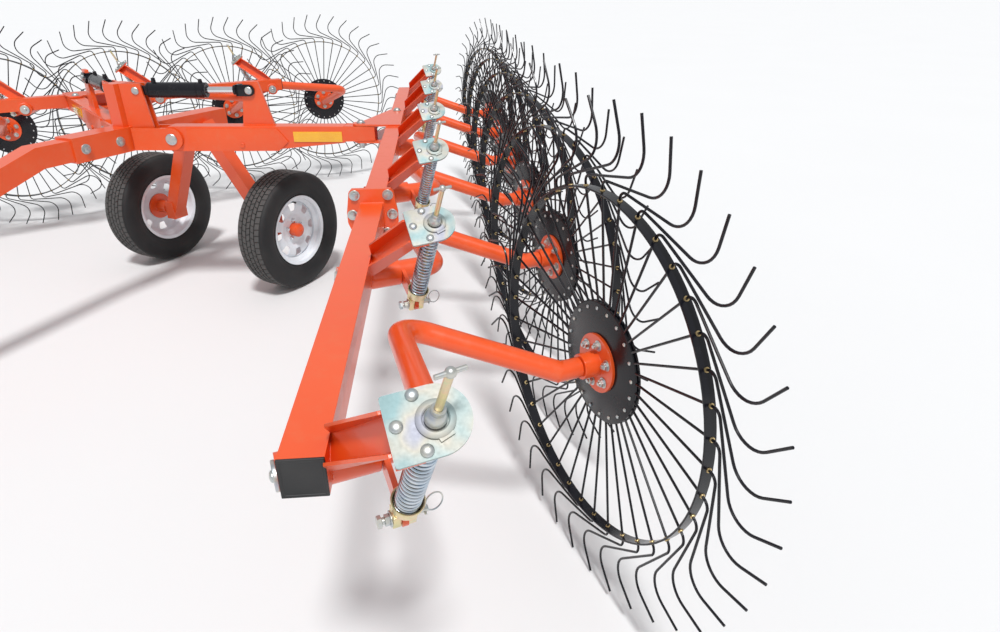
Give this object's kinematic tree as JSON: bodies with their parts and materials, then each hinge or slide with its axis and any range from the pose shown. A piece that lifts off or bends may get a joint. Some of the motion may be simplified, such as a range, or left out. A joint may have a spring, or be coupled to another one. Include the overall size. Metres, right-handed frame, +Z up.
{
  "type": "wheel rake",
  "caption": "Towed V-shaped hay rake on two road wheels, with sprung tined rake wheels along two lifting wings.",
  "frame": {"origin": "on the floor at the centre of the whole machine's outline", "axes": "+X to the machine's left, +Y to its rear, away from the tractor, +Z up"},
  "size_m": [6.7052, 5.4052, 1.4179],
  "materials": {
    "frame_paint": "gloss orange-red",
    "black_paint": "gloss black",
    "bright_zinc": "bright zinc plate",
    "yellow_zinc": "yellow zinc plate",
    "ram_chrome": "polished",
    "tyre_rubber": "moulded rubber",
    "rim_white": "gloss white",
    "cap_plastic": "moulded"
  },
  "bodies": {
    "machine": {"centre_frame": "frame_paint", "drawbar": "frame_paint", "jack_sleeve": "frame_paint"},
    "jack": {"jack_leg": "bright_zinc"},
    "arm_left": {"cross_arm_left": "frame_paint"},
    "wing_left": {"wing_beam_left": "frame_paint", "beam_caps_left": "cap_plastic", "crank_arms_left": "frame_paint", "pivot_retainers_left": "bright_zinc", "spring_plates_left": "bright_zinc", "lift_springs_left": "bright_zinc", "spring_rods_left": "yellow_zinc"},
    "barrel_left": {"ram_barrel_left": "black_paint"},
    "rod_left": {"ram_rod_left": "ram_chrome"},
    "road_wheel_left": {"tyre_left": "tyre_rubber", "rim_left": "rim_white", "road_hub_left": "frame_paint"},
    "rake_wheel_left_1": {"rake_wheel_left_1": "black_paint", "wheel_hub_left_1": "frame_paint"},
    "rake_wheel_left_2": {"rake_wheel_left_2": "black_paint", "wheel_hub_left_2": "frame_paint"},
    "rake_wheel_left_3": {"rake_wheel_left_3": "black_paint", "wheel_hub_left_3": "frame_paint"},
    "rake_wheel_left_4": {"rake_wheel_left_4": "black_paint", "wheel_hub_left_4": "frame_paint"},
    "rake_wheel_left_5": {"rake_wheel_left_5": "black_paint", "wheel_hub_left_5": "frame_paint"},
    "rake_wheel_left_6": {"rake_wheel_left_6": "black_paint", "wheel_hub_left_6": "frame_paint"},
    "arm_right": {"cross_arm_right": "frame_paint"},
    "wing_right": {"wing_beam_right": "frame_paint", "beam_caps_right": "cap_plastic", "crank_arms_right": "frame_paint", "pivot_retainers_right": "bright_zinc", "spring_plates_right": "bright_zinc", "lift_springs_right": "bright_zinc", "spring_rods_right": "yellow_zinc"},
    "barrel_right": {"ram_barrel_right": "black_paint"},
    "rod_right": {"ram_rod_right": "ram_chrome"},
    "road_wheel_right": {"tyre_right": "tyre_rubber", "rim_right": "rim_white", "road_hub_right": "frame_paint"},
    "rake_wheel_right_1": {"rake_wheel_right_1": "black_paint", "wheel_hub_right_1": "frame_paint"},
    "rake_wheel_right_2": {"rake_wheel_right_2": "black_paint", "wheel_hub_right_2": "frame_paint"},
    "rake_wheel_right_3": {"rake_wheel_right_3": "black_paint", "wheel_hub_right_3": "frame_paint"},
    "rake_wheel_right_4": {"rake_wheel_right_4": "black_paint", "wheel_hub_right_4": "frame_paint"},
    "rake_wheel_right_5": {"rake_wheel_right_5": "black_paint", "wheel_hub_right_5": "frame_paint"},
    "rake_wheel_right_6": {"rake_wheel_right_6": "black_paint", "wheel_hub_right_6": "frame_paint"}
  },
  "joints": [
    {"name": "arm_lift_left", "type": "hinge", "parent": "machine", "child": "arm_left", "pos_m": [0.23, -0.27467, 0.93], "axis": [0.421, -0.907, 0], "range_deg": [0, 22]},
    {"name": "wing_swing_left", "type": "hinge", "parent": "arm_left", "child": "wing_left", "pos_m": [1.11528, 0.13626, 0.955], "axis": [0, 0, -1], "range_deg": [-4, 8]},
    {"name": "ram_tilt_left", "type": "hinge", "parent": "machine", "child": "barrel_left", "pos_m": [0.1, -0.33501, 1.167], "axis": [0.421, -0.907, 0], "range_deg": [0, 16.08]},
    {"name": "ram_stroke_left", "type": "slide", "parent": "barrel_left", "child": "rod_left", "axis": [0.907, 0.421, 0], "range_m": [-0.0991, 0]},
    {"name": "road_wheel_spin_left", "type": "hinge", "parent": "machine", "child": "road_wheel_left", "pos_m": [0.54, 0.1281, 0.344], "axis": [1, 0, 0], "continuous": true},
    {"name": "rake_spin_left_1", "type": "hinge", "parent": "wing_left", "child": "rake_wheel_left_1", "pos_m": [2.81803, -1.227, 0.71], "axis": [0.6561, 0.7547, 0], "continuous": true},
    {"name": "rake_spin_left_2", "type": "hinge", "parent": "wing_left", "child": "rake_wheel_left_2", "pos_m": [2.41803, -0.53418, 0.71], "axis": [0.6561, 0.7547, 0], "continuous": true},
    {"name": "rake_spin_left_3", "type": "hinge", "parent": "wing_left", "child": "rake_wheel_left_3", "pos_m": [2.01803, 0.15864, 0.71], "axis": [0.6561, 0.7547, 0], "continuous": true},
    {"name": "rake_spin_left_4", "type": "hinge", "parent": "wing_left", "child": "rake_wheel_left_4", "pos_m": [1.61803, 0.85146, 0.71], "axis": [0.6561, 0.7547, 0], "continuous": true},
    {"name": "rake_spin_left_5", "type": "hinge", "parent": "wing_left", "child": "rake_wheel_left_5", "pos_m": [1.21803, 1.54428, 0.71], "axis": [0.6561, 0.7547, 0], "continuous": true},
    {"name": "rake_spin_left_6", "type": "hinge", "parent": "wing_left", "child": "rake_wheel_left_6", "pos_m": [0.81803, 2.2371, 0.71], "axis": [0.6561, 0.7547, 0], "continuous": true},
    {"name": "arm_lift_right", "type": "hinge", "parent": "machine", "child": "arm_right", "pos_m": [-0.23, -0.27467, 0.93], "axis": [0.421, 0.907, 0], "range_deg": [0, 22]},
    {"name": "wing_swing_right", "type": "hinge", "parent": "arm_right", "child": "wing_right", "pos_m": [-1.11528, 0.13626, 0.955], "axis": [0, 0, 1], "range_deg": [-4, 8]},
    {"name": "ram_tilt_right", "type": "hinge", "parent": "machine", "child": "barrel_right", "pos_m": [-0.1, -0.33501, 1.167], "axis": [0.421, 0.907, 0], "range_deg": [0, 16.08]},
    {"name": "ram_stroke_right", "type": "slide", "parent": "barrel_right", "child": "rod_right", "axis": [-0.907, 0.421, 0], "range_m": [-0.0991, 0]},
    {"name": "road_wheel_spin_right", "type": "hinge", "parent": "machine", "child": "road_wheel_right", "pos_m": [-0.54, 0.1281, 0.344], "axis": [1, 0, 0], "continuous": true},
    {"name": "rake_spin_right_1", "type": "hinge", "parent": "wing_right", "child": "rake_wheel_right_1", "pos_m": [-2.81803, -1.227, 0.71], "axis": [-0.6561, 0.7547, 0], "continuous": true},
    {"name": "rake_spin_right_2", "type": "hinge", "parent": "wing_right", "child": "rake_wheel_right_2", "pos_m": [-2.41803, -0.53418, 0.71], "axis": [-0.6561, 0.7547, 0], "continuous": true},
    {"name": "rake_spin_right_3", "type": "hinge", "parent": "wing_right", "child": "rake_wheel_right_3", "pos_m": [-2.01803, 0.15864, 0.71], "axis": [-0.6561, 0.7547, 0], "continuous": true},
    {"name": "rake_spin_right_4", "type": "hinge", "parent": "wing_right", "child": "rake_wheel_right_4", "pos_m": [-1.61803, 0.85146, 0.71], "axis": [-0.6561, 0.7547, 0], "continuous": true},
    {"name": "rake_spin_right_5", "type": "hinge", "parent": "wing_right", "child": "rake_wheel_right_5", "pos_m": [-1.21803, 1.54428, 0.71], "axis": [-0.6561, 0.7547, 0], "continuous": true},
    {"name": "rake_spin_right_6", "type": "hinge", "parent": "wing_right", "child": "rake_wheel_right_6", "pos_m": [-0.81803, 2.2371, 0.71], "axis": [-0.6561, 0.7547, 0], "continuous": true},
    {"name": "jack_travel", "type": "slide", "parent": "machine", "child": "jack", "axis": [0, 0, 1], "range_m": [0, 0.3]}
  ],
  "couplings": [
    {"joint": "ram_tilt_left", "follows": "arm_lift_left", "ratio": 0.722},
    {"joint": "ram_stroke_left", "follows": "arm_lift_left", "m_per_rad": -0.2555},
    {"joint": "ram_tilt_right", "follows": "arm_lift_right", "ratio": 0.722},
    {"joint": "ram_stroke_right", "follows": "arm_lift_right", "m_per_rad": -0.2555}
  ]
}
